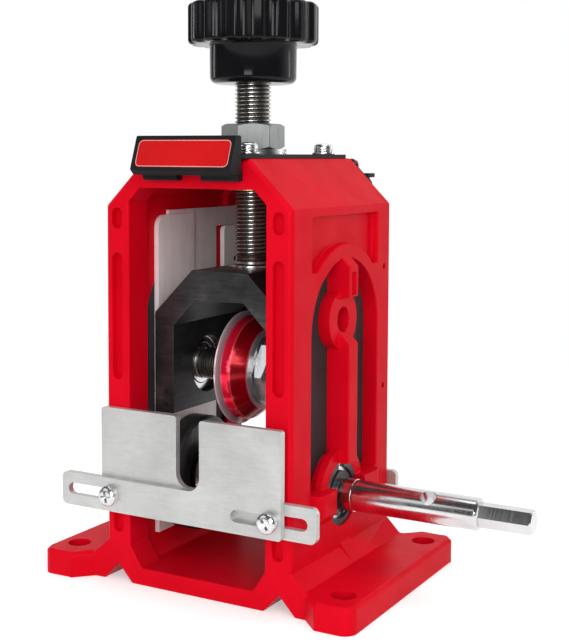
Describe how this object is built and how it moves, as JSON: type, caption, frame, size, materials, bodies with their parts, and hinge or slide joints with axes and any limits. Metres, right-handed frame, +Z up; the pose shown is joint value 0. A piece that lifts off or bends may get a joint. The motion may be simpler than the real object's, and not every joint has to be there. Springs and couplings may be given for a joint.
{
  "type": "hand-cranked bench wire stripper",
  "caption": "Bench wire stripper with a crank-driven feed roller, a round blade in a sliding yoke set by a knob and screw, slotted wire guides and a footed cast frame.",
  "frame": {"origin": "middle of the four-hole base pattern, on the underside the frame stands on", "axes": "+X along the crank shaft towards its drive end, +Y from the wire inlet to the outlet, +Z up"},
  "size_m": [0.1788, 0.0974, 0.2165],
  "materials": {
    "red_paint": "satin red powder coat on an alloy casting",
    "black_sheet": "satin black coated sheet",
    "black_oxide": "satin black oxide steel",
    "black_knob": "glossy black moulding",
    "zinc_plate": "brushed bright zinc",
    "liner_steel": "brushed steel strip",
    "bright_steel": "bright plated steel",
    "ground_steel": "ground steel",
    "blade_steel": "ground tool steel",
    "bush_brass": "turned brass",
    "sign_red": "blank glossy red insert with a pale outline"
  },
  "bodies": {
    "frame": {"frame_casting": "red_paint", "side_panel_right": "black_sheet", "side_panel_left": "black_sheet", "rear_strip_right": "zinc_plate", "rear_strip_left": "zinc_plate", "rear_strip_screws": "black_oxide", "guide_liner_right": "liner_steel", "guide_liner_left": "liner_steel", "bearing_carrier_right": "black_oxide", "bearing_carrier_left": "black_oxide", "carrier_screws": "bright_steel", "shaft_bearing_outer_left": "bright_steel", "shaft_bearing_outer_right": "bright_steel", "bore_retaining_rings": "black_oxide", "thread_bush": "bush_brass", "lock_nut_washer": "bright_steel", "top_plate": "black_sheet", "top_plate_screws": "bright_steel", "top_split_washers": "bright_steel", "top_flat_washers": "bright_steel", "sign_housing": "black_knob", "sign_insert": "sign_red", "guide_screws": "bright_steel", "guide_screw_washers": "bright_steel", "wire_rest": "zinc_plate", "wire_rest_screws": "bright_steel", "rear_cover": "black_sheet", "rear_cover_screws": "bright_steel"},
    "crank_shaft": {"drive_shaft": "bright_steel", "shaft_bearing_inner_left": "bright_steel", "shaft_bearing_inner_right": "bright_steel", "shaft_retaining_rings": "black_oxide", "feed_roller": "bright_steel", "roller_set_screws": "black_oxide", "roller_spacers": "ground_steel"},
    "carriage": {"blade_yoke": "black_oxide", "yoke_set_screws": "ground_steel", "axle_bearing_outer_rings": "bright_steel", "thrust_washer": "bright_steel"},
    "blade": {"blade_axle": "ground_steel", "cutting_blade": "blade_steel", "blade_washer": "ground_steel", "blade_nut": "ground_steel", "axle_bearing_inner_rings": "bright_steel"},
    "height_screw": {"adjusting_screw": "ground_steel", "neck_retaining_ring": "black_oxide", "adjusting_knob": "black_knob", "knob_insert": "bush_brass", "knob_cap": "black_knob"},
    "jam_nut": {"lock_nut": "bright_steel"},
    "front_guide": {"guide_plate_front": "zinc_plate"},
    "rear_guide": {"guide_plate_rear": "zinc_plate"}
  },
  "joints": [
    {"name": "crank_turn", "type": "hinge", "parent": "frame", "child": "crank_shaft", "pos_m": [0, 0, 0.0342], "axis": [1, 0, 0], "continuous": true},
    {"name": "carriage_slide", "type": "slide", "parent": "frame", "child": "carriage", "axis": [0, 0, 1], "range_m": [-0.0045, 0.025]},
    {"name": "knob_turn", "type": "hinge", "parent": "carriage", "child": "height_screw", "pos_m": [0, 0, 0.19], "axis": [0, 0, 1], "range_deg": [-1081, 6001]},
    {"name": "blade_spin", "type": "hinge", "parent": "carriage", "child": "blade", "pos_m": [0, 0, 0.078], "axis": [1, 0, 0], "continuous": true},
    {"name": "jam_nut_turn", "type": "hinge", "parent": "frame", "child": "jam_nut", "pos_m": [0, 0, 0.166], "axis": [0, 0, 1], "range_deg": [0, 90]},
    {"name": "front_guide_slide", "type": "slide", "parent": "frame", "child": "front_guide", "axis": [1, 0, 0], "range_m": [0, 0.0135]},
    {"name": "rear_guide_slide", "type": "slide", "parent": "frame", "child": "rear_guide", "axis": [1, 0, 0], "range_m": [-0.0113, 0]}
  ],
  "couplings": [
    {"joint": "knob_turn", "follows": "carriage_slide", "rad_per_m": 4188.8}
  ]
}
